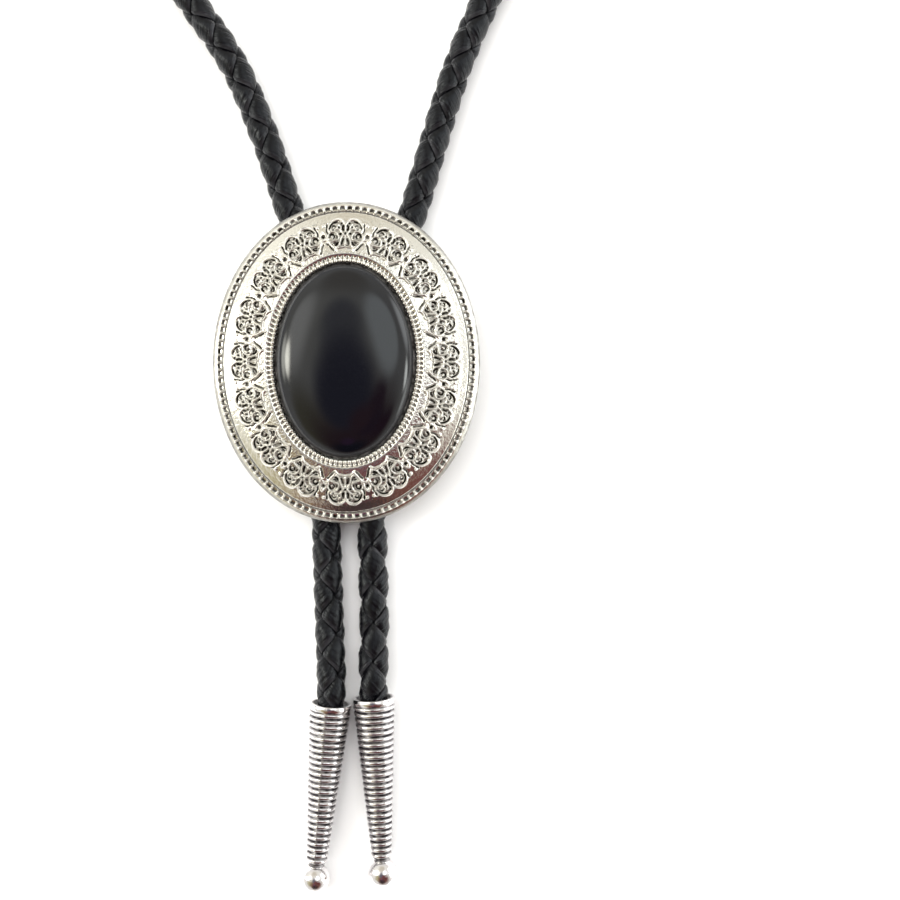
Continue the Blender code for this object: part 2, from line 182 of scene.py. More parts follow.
# One half of a motif, in mm: sideways from its middle, and outwards from the band's inner
# edge. Raised lines have their half width and share of the height, sunk slots their half
# width and depth, raised dots and sunk pits their place, radius and share.
MOTIF_LINES = (
    (0.14, 0.90, ((0.0, 0.55), (0.0, 1.0), (0.0, 1.5), (0.0, 1.92))),
    (0.14, 0.95, ((0.0, 2.56), (0.0, 3.05), (0.0, 3.45))),
    (0.19, 1.00, ((0.16, 0.30), (0.50, 0.24), (1.00, 0.22), (1.40, 0.05), (1.68, -0.20))),
    (0.18, 1.00, ((1.62, 0.00), (2.00, 0.42), (2.30, 0.82), (2.56, 1.30), (2.74, 1.75))),
    (0.20, 1.00, ((0.02, 3.42), (0.22, 3.86), (0.50, 4.16), (0.92, 4.34), (1.42, 4.24),
                  (1.90, 3.86), (2.18, 3.36), (2.28, 2.92), (2.12, 2.62))),
    (0.15, 0.95, ((1.45, 0.30), (0.98, 0.62), (0.80, 1.10), (0.62, 1.62), (0.30, 1.98))),
    (0.14, 0.90, ((0.14, 1.90), (0.36, 2.30), (0.62, 2.72), (1.00, 2.92), (1.36, 2.86))),
    (0.14, 0.95, ((1.02, 1.98), (0.96, 1.56), (1.26, 1.34), (1.60, 1.30), (2.02, 1.20),
                  (2.36, 1.16))),
    (0.15, 0.95, ((1.00, 2.02), (1.20, 2.40), (1.62, 2.62), (2.14, 2.54), (2.46, 2.16),
                  (2.58, 1.62))),
    (0.14, 0.95, ((1.86, 2.84), (2.02, 3.26), (1.74, 3.66), (1.30, 3.62), (1.06, 3.24),
                  (1.30, 2.98))),
    (0.12, 0.85, ((0.62, 2.84), (0.60, 3.20), (0.86, 3.60))),
    (0.12, 0.85, ((1.62, 0.40), (1.78, 0.74), (2.16, 0.98))),
    (0.12, 0.85, ((0.10, 0.66), (0.62, 0.56), (0.96, 0.52))),
    (0.14, 0.90, ((2.68, 1.55), (2.78, 2.14), (2.96, 2.64), (3.15, 2.88))),
    (0.13, 0.80, ((2.70, 1.40), (2.95, 1.52), (3.15, 1.58))),
)
MOTIF_DOTS = (
    (2.74, 3.70, 0.27, 1.00),
    (0.0, 0.33, 0.26, 0.95),
    (1.72, -0.16, 0.20, 0.95),
    (2.66, 1.40, 0.20, 1.00),
    (3.15, 2.14, 0.13, 0.80),
    (2.02, 1.92, 0.15, 0.85),
    (1.50, 3.28, 0.13, 0.85),
)
MOTIF_SLOTS = (
    (0.20, 1.00, ((0.30, 1.42), (0.46, 1.04), (0.54, 0.72))),
    (0.17, 1.00, ((1.14, 0.98), (1.34, 0.70), (1.62, 0.62))),
    (0.14, 0.85, ((1.42, 0.98), (1.82, 0.92))),
    (0.18, 1.00, ((1.74, 1.66), (1.58, 1.92), (1.74, 2.22), (2.10, 2.24), (2.26, 1.90))),
    (0.13, 0.90, ((1.24, 1.66), (1.24, 1.92))),
    (0.20, 1.00, ((0.30, 2.76), (0.36, 3.08), (0.28, 3.42))),
    (0.16, 1.00, ((1.05, 4.02), (1.45, 3.96), (1.85, 3.62), (2.10, 3.16))),
    (0.13, 0.90, ((1.24, 3.34), (1.46, 3.46), (1.68, 3.36))),
    (0.12, 0.80, ((2.45, 2.46), (2.56, 2.86), (2.50, 3.20))),
    (0.14, 0.75, ((2.42, 3.40), (2.34, 3.86))),
    (0.19, 0.65, ((2.00, -0.10), (2.30, 0.20), (2.54, 0.62), (2.84, 0.96))),
)
MOTIF_PITS = (
    (0.70, 2.20, 0.27, 1.00),
    (0.0, 2.24, 0.20, 0.95),
    (0.50, 3.74, 0.21, 1.00),
    (0.86, 3.20, 0.16, 0.90),
    (1.66, 2.92, 0.15, 0.85),
    (0.0, 0.34, 0.11, 0.60),
)
# Sunk pit between two motifs: how far out it sits and its radius, in mm, and its share.
BETWEEN_LEVEL = 2.14
BETWEEN_RADIUS = 0.36
BETWEEN_DEPTH = 0.9
# Sunk ground behind one motif's lines, its middle as far out as it is half high.
BODY_HALF_WIDTH = 2.75
BODY_HALF_HEIGHT = 2.15
BODY_SQUARENESS = 2.8
# How far from a line its height is still worked out, in mm.
STROKE_REACH = 0.5
# Height of a whole line, and depth of a whole slot.
MOTIF_RELIEF = 0.17 * MM
MOTIF_GROUND = 0.22 * MM

# How the face's fall grows from the beads to the rim.
FACE_ROUNDNESS = 1.5

# Small forms of the concho and the tips that only the looks have.
SKIN_THICKNESS = 0.5 * MM
BEAD_LAND_SINK = 0.12 * MM
BEAD_PIT_OUT = 0.12 * MM
BEAD_PIT_RADIUS = 0.17 * MM
BEAD_PIT_DEPTH = 0.18 * MM
TOOTH_CUT = 0.16 * MM
RIB_GROOVE_WIDTH = 0.20 * MM
RIB_GROOVE_DEPTH = 0.20 * MM
RIB_SHOULDER = 0.05 * MM
SEAM_HEIGHT = 0.10 * MM
SEAM_TURN = 0.12
SEAM_WIDTH = 0.09

# How finely the pieces are drawn. Beads and teeth have so many columns to each repeat.
FACE_COLUMNS = 1440
FACE_ROWS = 54
COLUMNS_PER_REPEAT = 12
PLAIN_COLUMNS = 192
TIP_COLUMNS = 64
OVAL_SAMPLES = 2881

# Surroundings that the metal reflects: azimuth, tilt, inner and outer half angle, colour.
SURROUNDINGS = (
    (140.0, 48.0, 12.0, 42.0, (1.06, 1.04, 0.94)),
    (95.0, 48.0, 8.0, 27.0, (0.68, 0.63, 0.52)),
    (15.0, 45.0, 10.0, 36.0, (0.86, 0.85, 0.80)),
    (222.0, 42.0, 9.0, 29.0, (0.48, 0.43, 0.25)),
    (283.0, 42.0, 18.0, 50.0, (0.18, 0.075, 0.055)),
    (112.0, 15.0, 4.0, 13.0, (0.42, 0.41, 0.42)),
    (235.0, 7.0, 9.0, 19.0, (0.13, 0.115, 0.15)),
    (272.0, 54.0, 7.0, 24.0, (0.045, 0.032, 0.032)),
    (308.0, 27.0, 5.0, 14.0, (0.13, 0.046, 0.052)),
    (333.0, 18.0, 3.0, 9.0, (0.15, 0.052, 0.058)),
    (291.0, 17.0, 3.0, 10.0, (0.20, 0.078, 0.070)),
    (318.0, 44.0, 5.0, 15.0, (0.14, 0.040, 0.042)),
    (268.0, 36.0, 2.0, 8.0, (0.22, 0.08, 0.19)),
    (155.0, 42.0, 6.0, 20.0, (2.2, 2.2, 2.1)),
    (174.0, 66.0, 1.0, 12.0, (6.0, 6.0, 5.4)),
    (174.0, 52.0, 1.0, 9.0, (15.0, 14.8, 13.2)),
    (25.0, 74.0, 5.0, 20.0, (3.2, 3.3, 3.3)),
    (344.0, 84.0, 4.0, 15.0, (3.2, 3.3, 3.2)),
    (35.0, 28.0, 12.0, 19.0, (1.75, 1.85, 1.85)),
    (357.0, 67.0, 1.5, 10.0, (8.0, 8.3, 8.0)),
)
SKY = (0.92, 0.905, 0.83)
HORIZON = (0.80, 0.79, 0.78)

# Lights that show in no reflection, because the metal reflects the surroundings above.
# Each has its name, azimuth, tilt, half width and half height in degrees, and radiance.
WINDOWS = (
    ("window_left", 174.0, 52.0, 10.0, 8.0, 12.0),
    ("window_right", 2.0, 56.0, 16.0, 4.0, 7.0),
    ("ceiling", 110.0, 22.0, 30.0, 30.0, 2.2),
)


def full_colour(color):
    """The same colour at full opacity."""
    return (*color, 1.0)


class Nodes:
    """Small helper that builds a node tree from plain calls."""

    def __init__(self, tree):
        self.tree = tree

    def feed(self, sockets, values):
        """Link or set each of the named sockets."""
        for key, value in values.items():
            if isinstance(value, bpy.types.NodeSocket):
                self.tree.links.new(value, sockets[key])
            else:
                sockets[key].default_value = value

    def add(self, kind, inputs=None, **settings):
        node = self.tree.nodes.new(kind)
        for key, value in settings.items():
            setattr(node, key, value)
        self.feed(node.inputs, inputs or {})
        return node

    def place(self):
        """Place on the object, in metres."""
        return self.add("ShaderNodeTexCoord").outputs["Object"]

    def field(self, name):
        """One of the fields that the mesh carries."""
        return self.add("ShaderNodeAttribute", attribute_name=name).outputs["Fac"]

    def stretched(self, where, scale):
        return self.add("ShaderNodeMapping", {"Vector": where, "Scale": scale}).outputs["Vector"]

    def noise(self, where, scale, detail=3.0, roughness=0.5):
        inputs = {"Vector": where, "Scale": scale, "Detail": detail, "Roughness": roughness}
        return self.add("ShaderNodeTexNoise", inputs).outputs["Fac"]

    def spread(self, value, low, high, to_low=0.0, to_high=1.0):
        """The value, carried over from one range to another."""
        ranges = {"From Min": low, "From Max": high, "To Min": to_low, "To Max": to_high}
        return self.add("ShaderNodeMapRange", {"Value": value, **ranges}).outputs["Result"]

    def math(self, operation, first, second):
        return self.add("ShaderNodeMath", {0: first, 1: second}, operation=operation).outputs[0]

    def plus(self, first, second):
        return self.math("ADD", first, second)

    def times(self, first, second):
        return self.math("MULTIPLY", first, second)

    def mix(self, factor, first, second):
        """Blend of two colours, each a socket or three numbers."""
        first, second = (full_colour(c) if isinstance(c, tuple) else c for c in (first, second))
        node = self.add("ShaderNodeMix", {0: factor, 6: first, 7: second}, data_type="RGBA")
        return node.outputs[2]

    def bump(self, height, strength, distance):
        inputs = {"Height": height, "Strength": strength, "Distance": distance}
        return self.add("ShaderNodeBump", inputs).outputs["Normal"]


def new_material(name):
    """A material, its node helper and the sockets of its shader."""
    material = bpy.data.materials.new(name)
    material.use_nodes = True
    tree = material.node_tree
    return material, Nodes(tree), tree.nodes["Principled BSDF"].inputs


def silver_material(name, plate, oxide_and_shade_tone):
    """Bright plate, darkened by the mesh's oxide and painted shade, satin where raised, grainy
    where sandy.
    """
    material, nodes, shader = new_material(name)
    where = nodes.place()
    sand = nodes.field("sand")
    blotch = nodes.spread(nodes.noise(where, 900.0, 4.0, 0.6), 0.30, 0.62, 0.55, 1.12)
    # The mesh's darkening field holds oxide in the relief's hollows, and painted shade on the
    # rim's outer wall, under the rim and in the gap round the stone.
    uneven = nodes.times(nodes.field("patina_and_shade"), blotch)
    pits = nodes.noise(where, 2600.0, 3.0, 0.6)
    specks = nodes.times(nodes.spread(pits, 0.53, 0.68, 0.0, 0.42), sand)
    oxide_and_shade_amount = nodes.spread(nodes.plus(uneven, specks), 0.08, 0.92)
    smudge = nodes.spread(nodes.noise(where, 260.0, 3.0), 0.3, 0.7, 0.10, 0.20)
    satin = nodes.times(nodes.field("raised"), 0.20)
    waves = nodes.noise(where, 1100.0, 2.0, 0.5)
    grains = nodes.times(pits, nodes.spread(sand, 0.0, 1.0, 0.5, 2.5))
    nodes.feed(shader, {
        "Base Color": nodes.mix(oxide_and_shade_amount, plate, oxide_and_shade_tone),
        "Metallic": 1.0,
        "Roughness": nodes.plus(nodes.plus(smudge, satin), nodes.times(oxide_and_shade_amount, 0.34)),
        "Normal": nodes.bump(nodes.plus(grains, waves), 0.17, 0.25 * MM),
    })
    return material


def steel_material(name):
    """Plain brushed steel for the hidden clasp."""
    material, nodes, shader = new_material(name)
    brushed = nodes.noise(nodes.stretched(nodes.place(), (1.0, 14.0, 14.0)), 500.0, 4.0, 0.65)
    nodes.feed(shader, {
        "Base Color": nodes.mix(brushed, (0.50, 0.50, 0.50), (0.66, 0.65, 0.63)),
        "Metallic": 1.0,
        "Roughness": nodes.spread(brushed, 0.2, 0.8, 0.26, 0.42),
        "Normal": nodes.bump(brushed, 0.12, 0.05 * MM),
    })
    return material


def stone_material(name):
    """Polished black stone with very fine surface marks, matt on its girdle."""
    material, nodes, shader = new_material(name)
    where = nodes.place()
    cloud = nodes.noise(where, 120.0, 3.0, 0.5)
    marks = nodes.spread(nodes.noise(where, 1400.0, 3.0, 0.6), 0.3, 0.7, 0.09, 0.13)
    ground = nodes.times(nodes.field("edge"), 0.55)
    nodes.feed(shader, {
        "Base Color": nodes.mix(cloud, (0.0008, 0.0014, 0.0026), (0.0024, 0.0028, 0.0056)),
        "Roughness": nodes.plus(marks, ground),
        "IOR": 1.56,
    })
    return material


def leather_material(name):
    """Black finished leather lace: fine grain, lengthwise creases, lighter edges as a painted
    highlight.
    """
    material, nodes, shader = new_material(name)
    where = nodes.place()
    lace = nodes.add("ShaderNodeUVMap", uv_map="lace").outputs["UV"]
    mottle = nodes.noise(where, 420.0, 4.0, 0.6)
    base = nodes.mix(mottle, (0.0006, 0.0006, 0.0010), (0.0022, 0.0021, 0.0032))
    # Lighter colour on the edges of laces that lie over the others: a painted highlight.
    edge_highlight_share = nodes.times(nodes.field("painted_edge_highlight"), nodes.spread(mottle, 0.35, 0.65, 0.1, 0.5))
    creases = nodes.noise(nodes.stretched(lace, (3.6, 0.50, 1.0)), 700.0, 3.0, 0.55)
    grain = nodes.noise(where, 5200.0, 3.0, 0.6)
    height = nodes.plus(nodes.times(creases, 1.6), nodes.times(grain, 0.25))
    nodes.feed(shader, {
        "Base Color": nodes.mix(edge_highlight_share, base, (0.11, 0.108, 0.118)),
        "Roughness": nodes.spread(grain, 0.3, 0.7, 0.12, 0.22),
        "Normal": nodes.bump(height, 0.60, 0.22 * MM),
        "IOR": 1.365,
        "Specular Tint": full_colour((0.90, 0.94, 1.0)),
    })
    return material


def floor_material(name):
    """Plain pale paper-like surface."""
    material, nodes, shader = new_material(name)
    tone = nodes.noise(nodes.place(), 30.0, 2.0)
    nodes.feed(shader, {
        "Base Color": nodes.mix(tone, (0.93, 0.93, 0.93), (0.95, 0.95, 0.955)),
        "Roughness": 0.75,
    })
    return material


def mesh_object(name, points, quads, triangles, material, fields, uv=None):
    """Object from arrays of points and faces, with its faces turned outwards."""
    faces = np.vstack([quads[:, [0, 1, 2]], quads[:, [0, 2, 3]], triangles])
    a, b, c = (points[faces[:, k]] for k in range(3))
    if np.einsum("ij,ij->i", a, np.cross(b, c)).sum() < 0.0:
        quads = quads[:, ::-1]
        triangles = triangles[:, ::-1]
    mesh = bpy.data.meshes.new(name)
    loops = np.concatenate([quads.ravel(), triangles.ravel()]).astype(np.int32)
    sizes = np.concatenate([np.full(len(quads), 4), np.full(len(triangles), 3)])
    starts = np.concatenate([[0], np.cumsum(sizes)[:-1]]).astype(np.int32)
    mesh.vertices.add(len(points))
    mesh.vertices.foreach_set("co", points.astype(np.float32).ravel())
    mesh.loops.add(len(loops))
    mesh.loops.foreach_set("vertex_index", loops)
    mesh.polygons.add(len(sizes))
    mesh.polygons.foreach_set("loop_start", starts)
    mesh.update(calc_edges=True)
    mesh.shade_smooth()
    for key, values in fields.items():
        layer = mesh.attributes.new(key, "FLOAT", "POINT")
        layer.data.foreach_set("value", np.clip(values, 0.0, 1.0).astype(np.float32).ravel())
    if uv is not None:
        layer = mesh.uv_layers.new(name="lace")
        layer.data.foreach_set("uv", uv[loops].astype(np.float32).ravel())
    mesh.materials.append(material)
    obj = bpy.data.objects.new(name, mesh)
    bpy.context.scene.collection.objects.link(obj)
    return obj


def grid_faces(rows, columns, rows_close):
    """Faces of a grid whose columns close on themselves, and whose rows may too."""
    row = np.arange(rows if rows_close else rows - 1)[:, None]
    column = np.arange(columns)[None, :]
    here = row * columns
    there = (row + 1) % rows * columns
    beside = (column + 1) % columns
    corners = [here + column, here + beside, there + beside, there + column]
    return np.stack(corners, axis=-1).reshape(-1, 4)


def skin_object(name, x, y, top, bottom, material, fields):
    """Closed ring of metal: its upper rows, and the plain rows that close it beneath.

    Each field holds its values on the upper rows and its one value beneath them.
    """
    rows = np.stack([x, y, np.vstack([top, bottom])], axis=-1)
    fields = {
        key: np.vstack([values, np.full(bottom.shape, beneath)])
        for key, (values, beneath) in fields.items()
    }
    quads = grid_faces(*rows.shape[:2], True)
    triangles = np.empty((0, 3), int)
    return mesh_object(name, rows.reshape(-1, 3), quads, triangles, material, fields)


def capped_object(name, rows, material, fields, uv=None):
    """Closed body of rows of points, with a fan over its first and its last row."""
    count, columns = rows.shape[:2]
    quads = grid_faces(count, columns, False)
    column = np.arange(columns)
    beside = (column + 1) % columns
    middle = np.full(columns, count * columns)
    last_row = (count - 1) * columns
    first = np.stack([middle, beside, column], axis=1)
    last = np.stack([middle + 1, last_row + column, last_row + beside], axis=1)
    ends = np.stack([rows[0].mean(axis=0), rows[-1].mean(axis=0)])
    points = np.vstack([rows.reshape(-1, 3), ends])
    fields = {
        key: np.concatenate([values.ravel(), values[0, :1], values[-1, :1]])
        for key, values in fields.items()
    }
    if uv is not None:
        uv = np.vstack([uv.reshape(-1, 2), uv[0, :1], uv[-1, :1]])
    return mesh_object(name, points, quads, np.vstack([first, last]), material, fields, uv)


def dress(piece, slot, *nodes):
    """Fasten a piece to the part and hide the solids it stands for. The slot is not used."""
    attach(piece, "root")
    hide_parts(*nodes)


def smooth_line(marks, steps):
    """Points on a smooth curve through all marks, with `steps` to each span."""
    spans = np.linalg.norm(np.diff(marks, axis=0), axis=1)
    slopes = np.diff(marks, axis=0) / spans[:, None]
    tangents = np.empty_like(marks)
    tangents[0] = slopes[0]
    tangents[-1] = slopes[-1]
    before = spans[:-1, None]
    after = spans[1:, None]
    tangents[1:-1] = (slopes[:-1] * after + slopes[1:] * before) / (before + after)
    pieces = []
    for k, span in enumerate(spans):
        t = np.linspace(0.0, 1.0, steps, endpoint=False)[:, None]
        pieces.append(
            (2 * t**3 - 3 * t**2 + 1) * marks[k]
            + (t**3 - 2 * t**2 + t) * span * tangents[k]
            + (3 * t**2 - 2 * t**3) * marks[k + 1]
            + (t**3 - t**2) * span * tangents[k + 1]
        )
    return np.vstack(pieces + [marks[-1:]])


def smooth_step(value, low, high):
    """0 up to `low`, 1 from `high` on, and a soft rise between them."""
    share = np.clip((value - low) / (high - low), 0.0, 1.0)
    return share * share * (3 - 2 * share)


def oval_points(turn, offset):
    """Points of the stone's opening at each angle, moved outwards by the offset."""
    normal_x = OPENING_HALF_Y * np.sin(turn)
    normal_y = OPENING_HALF_X * np.cos(turn)
    length = np.hypot(normal_x, normal_y)
    x = OPENING_HALF_X * np.sin(turn) + offset * normal_x / length
    y = OPENING_HALF_Y * np.cos(turn) + offset * normal_y / length
    return x, y


def oval(offsets, columns, even_at=MOTIF_START + MOTIF_BAND / 2):
    """Plan of the concho: for each offset from the opening, its points all the way round.

    The columns run along straight rays, evenly spaced on the curve at offset `even_at`.
    The length of that curve comes with them.
    """
    turn = np.linspace(0.0, 2 * pi, OVAL_SAMPLES)
    x, y = oval_points(turn, even_at)
    run = np.concatenate(([0.0], np.cumsum(np.hypot(np.diff(x), np.diff(y)))))
    stops = np.interp(np.linspace(0.0, run[-1], columns, endpoint=False), run, turn)
    x, y = oval_points(stops, np.asarray(offsets)[:, None])
    return x, y, run[-1]


def face_height(offset):
    """Height of the domed face, without its relief."""
    share = np.clip((offset - BEAD_BAND) / (FACE_END - BEAD_BAND), 0.0, 1.0)
    return FACE_INNER_Z + (FACE_OUTER_Z - FACE_INNER_Z) * share ** FACE_ROUNDNESS


def distance_to_line(x, y, line):
    """Least distance from each point to a line of straight spans."""
    best = np.full(x.shape, np.inf)
    for (ax, ay), (bx, by) in zip(line, line[1:]):
        dx = bx - ax
        dy = by - ay
        share = np.clip(((x - ax) * dx + (y - ay) * dy) / (dx * dx + dy * dy), 0.0, 1.0)
        best = np.minimum(best, np.hypot(x - ax - share * dx, y - ay - share * dy))
    return best


def ridge(distance, half_width):
    """Raised line with a rounded back: 1 on its middle, 0 from its foot outwards."""
    return 1.0 - smooth_step(distance / half_width, 0.05, 1.12)


def strokes(across, outwards, table):
    """Greatest height of all the table's strokes at each place."""
    highest = np.zeros(across.shape)
    for half_width, share, marks in table:
        marks = np.array(marks)
        low = marks.min(axis=0) - STROKE_REACH
        high = marks.max(axis=0) + STROKE_REACH
        near = (across > low[0]) & (across < high[0])
        near &= (outwards > low[1]) & (outwards < high[1])
        distance = distance_to_line(across[near], outwards[near], smooth_line(marks, 6))
        highest[near] = np.maximum(highest[near], share * ridge(distance, half_width))
    return highest


def spots(across, outwards, table):
    """Greatest height of all the table's round spots at each place."""
    highest = np.zeros(across.shape)
    for x, y, radius, share in table:
        height = share * ridge(np.hypot(across - x, outwards - y), radius)
        highest = np.maximum(highest, height)
    return highest


def motif_relief(sideways, outwards, half_pitch):
    """Height, darkness and raised share of one motif, for places in mm from its middle."""
    across = np.abs(sideways)
    raised = np.maximum(
        strokes(across, outwards, MOTIF_LINES),
        spots(across, outwards, MOTIF_DOTS),
    )
    between = (half_pitch, BETWEEN_LEVEL, BETWEEN_RADIUS, BETWEEN_DEPTH)
    sunk = np.maximum(
        strokes(across, outwards, MOTIF_SLOTS),
        spots(across, outwards, MOTIF_PITS + (between,)),
    )
    upwards = np.abs(outwards - BODY_HALF_HEIGHT) / BODY_HALF_HEIGHT
    body = (across / BODY_HALF_WIDTH) ** BODY_SQUARENESS + upwards ** BODY_SQUARENESS
    inside = 1.0 - smooth_step(body, 0.62, 1.05)
    sunk = np.clip(1.45 * sunk, 0.0, 1.0)
    raised = raised * (1.0 - 0.9 * sunk)
    depth = np.maximum(sunk, 0.3 * inside * (1.0 - raised))
    height = MOTIF_RELIEF * raised - MOTIF_GROUND * depth
    dark = np.maximum(sunk, 0.42 * inside * (1.0 - smooth_step(raised, 0.1, 0.7)))
    return height, dark, raised


def make_face(name, first, last, silver):
    """Part of the domed face, from one offset to another, with the raised motifs."""
    offsets = np.linspace(first, last, FACE_ROWS)
    x, y, length = oval(np.append(offsets, (last, first)), FACE_COLUMNS)
    pitch = length / MOTIF_COUNT
    along = np.arange(FACE_COLUMNS) / FACE_COLUMNS * MOTIF_COUNT
    sideways = ((along + 0.5) % 1.0 - 0.5) * pitch / MM
    outwards = (offsets - MOTIF_START) / MM
    height, dark, raised = motif_relief(*np.meshgrid(sideways, outwards), pitch / MM / 2)
    top = face_height(offsets)[:, None] + height
    bottom = np.repeat([[face_height(last)], [face_height(first)]], FACE_COLUMNS, axis=1)
    offset = offsets[:, None]
    fine = 1.0 - 0.7 * smooth_step(offset, MOTIF_END - 0.6 * MM, MOTIF_END + 0.2 * MM)
    fields = {
        "patina_and_shade": (dark, 0.0),
        "raised": (raised, 0.0),
        "sand": (fine * (1.0 - 0.8 * raised), 0.0),
    }
    piece = skin_object(name, x, y, top, bottom - SKIN_THICKNESS, silver, fields)
    piece.data.set_sharp_from_angle(angle=radians(75))
    dress(piece, "silver", "concho")


def repeat_places(count, columns):
    """Place within each repeat, from -1 to 1, with 0 on its middle."""
    return (((np.arange(columns) / columns * count + 0.5) % 1.0 - 0.5) * 2)[None, :]


def make_beads(silver):
    """Row of small beads round the stone, with a row of pits outside it."""
    columns = BEAD_COUNT * COLUMNS_PER_REPEAT
    land_end = BEAD_BAND + 0.6 * MM
    offsets = np.concatenate([[0.0], np.linspace(0.02 * MM, land_end, 22)])
    x, y, _ = oval(np.append(offsets, (land_end, 0.0)), columns, BEAD_BAND / 2)
    offset = offsets[:, None]
    place = np.abs(repeat_places(BEAD_COUNT, columns))
    level = (offset / BEAD_BAND - 0.5) * 2.0
    bead = np.sqrt(np.clip(1.0 - place ** 2.2 - np.abs(level) ** 2.2, 0.0, 1.0))
    from_pit = (offset - BEAD_BAND - BEAD_PIT_OUT) / BEAD_PIT_RADIUS
    pit = np.exp(-((1.0 - place) / 0.45) ** 2 - from_pit ** 2)
    sink = BEAD_LAND_SINK * (1.0 - smooth_step(offset, BEAD_BAND, BEAD_BAND + 0.5 * MM))
    top = FACE_INNER_Z - sink + (BEAD_HEIGHT + BEAD_LAND_SINK) * bead - BEAD_PIT_DEPTH * pit
    top[0] = FACE_INNER_Z - 0.3 * MM
    bottom = np.full((2, columns), POCKET_FLOOR_Z - 0.2 * MM)
    bottom[0] = FACE_INNER_Z - SKIN_THICKNESS
    gaps = (1.0 - smooth_step(bead, 0.0, 0.5)) * (np.abs(level) < 1.0)
    fields = {"patina_and_shade": (0.85 * pit + 0.60 * gaps, 0.0), "raised": (bead, 0.0)}
    piece = skin_object("concho_beads", x, y, top, bottom, silver, fields)
    dress(piece, "silver", "concho")


def make_rim(silver):
    """Groove, milled teeth and the sloping outer wall, down to the rim's underside."""
    columns = TOOTH_COUNT * COLUMNS_PER_REPEAT
    offsets = np.concatenate([
        np.linspace(FACE_END - 0.05 * MM, TEETH_START, 8),
        np.linspace(TEETH_START + 0.02 * MM, TEETH_END + 0.06 * MM, 14),
        np.linspace(TEETH_END + 0.1 * MM, RIM_END, 6),
    ])
    under = (TEETH_END, RIM_END - RIM_WALL, RIM_END - RIM_WALL)
    x, y, _ = oval(np.append(offsets, under), columns, TEETH_START)
    offset = offsets[:, None]
    tooth = 1.0 - smooth_step(np.abs(repeat_places(TOOTH_COUNT, columns)), 0.20, 0.56)
    level = (offset - TEETH_START) / TOOTH_BAND
    span = smooth_step(level, -0.02, 0.16) * (1.0 - smooth_step(level, 0.86, 1.12))
    dip = np.sin(np.clip((offset - FACE_END) / RIM_GROOVE, 0.0, 1.0) * pi) ** 0.8
    down = np.clip((offset - TEETH_END) / RIM_SLOPE, 0.0, 1.0)
    gap = smooth_step(1.0 - tooth, 0.15, 0.85) * smooth_step(level, 0.0, 0.2)
    gap = gap * (1.0 - smooth_step(level, 0.82, 1.08))
    fall = (RIM_HEIGHT - TOOTH_HEIGHT - RIM_SLOPE) * down ** 1.4
    outer = FACE_OUTER_Z - TOOTH_HEIGHT - fall
    floor = np.where(level < 0.0, FACE_OUTER_Z - GROOVE_DEPTH * dip, outer)
    crown = 1.0 - 0.10 * (np.clip(level, 0.0, 1.0) * 2 - 1) ** 2
    top = floor + (TOOTH_HEIGHT + 0.05 * MM) * tooth * span * crown - TOOTH_CUT * gap
    bottom = np.full((3, columns), RIM_UNDER_Z)
    bottom[2] = FACE_OUTER_Z - PLATE_THICKNESS / 2
    line = 0.66 * dip ** 2.0 * (level < 0.0)
    # The wall's foot, and the underside beneath the rows, are darkened as painted shade; the
    # groove line and the gaps between the teeth hold oxide.
    foot = 0.58 * smooth_step(down, 0.25, 0.80)
    dark = np.maximum(np.maximum(0.86 * gap, line), foot)
    fields = {"patina_and_shade": (dark, 0.35), "raised": (tooth * span, 0.0)}
    piece = skin_object("concho_rim", x, y, top, bottom, silver, fields)
    dress(piece, "silver", "concho")


def make_concho_back(silver):
    """Body under the skins: pocket floor and wall, plate and the hollow underside."""
    under_stone = -6.0 * MM
    lap = 0.1 * MM
    rim_inside = RIM_END - RIM_WALL
    sections = (
        (under_stone, POCKET_FLOOR_Z),
        (lap, POCKET_FLOOR_Z),
        (lap, FACE_INNER_Z - 0.4 * MM),
        (MOTIF_START, FACE_INNER_Z - 0.55 * MM),
        (MOTIF_END, float(face_height(MOTIF_END)) - 0.45 * MM),
        (rim_inside + lap, FACE_OUTER_Z - 0.5 * MM),
        (rim_inside + lap, FACE_OUTER_Z - PLATE_THICKNESS),
        (rim_inside - RIM_SLOPE, float(face_height(rim_inside - RIM_SLOPE)) - PLATE_THICKNESS),
        (MOTIF_START, PLATE_UNDER_Z),
        (under_stone, PLATE_UNDER_Z),
    )
    offsets, heights = zip(*sections)
    x, y, _ = oval(offsets, PLAIN_COLUMNS)
    z = np.repeat(np.array(heights)[:, None], PLAIN_COLUMNS, axis=1)
    patina_and_shade = np.full(z.shape, 0.15)
    # The pocket floor and wall, seen in the gap round the stone, are darkened as painted shade.
    patina_and_shade[:3] = 0.75
    rows = np.stack([x, y, z], axis=-1)
    piece = capped_object("concho_back", rows, silver, {"patina_and_shade": patina_and_shade})
    piece.data.set_sharp_from_angle(angle=radians(30))
    dress(piece, "silver", "concho")


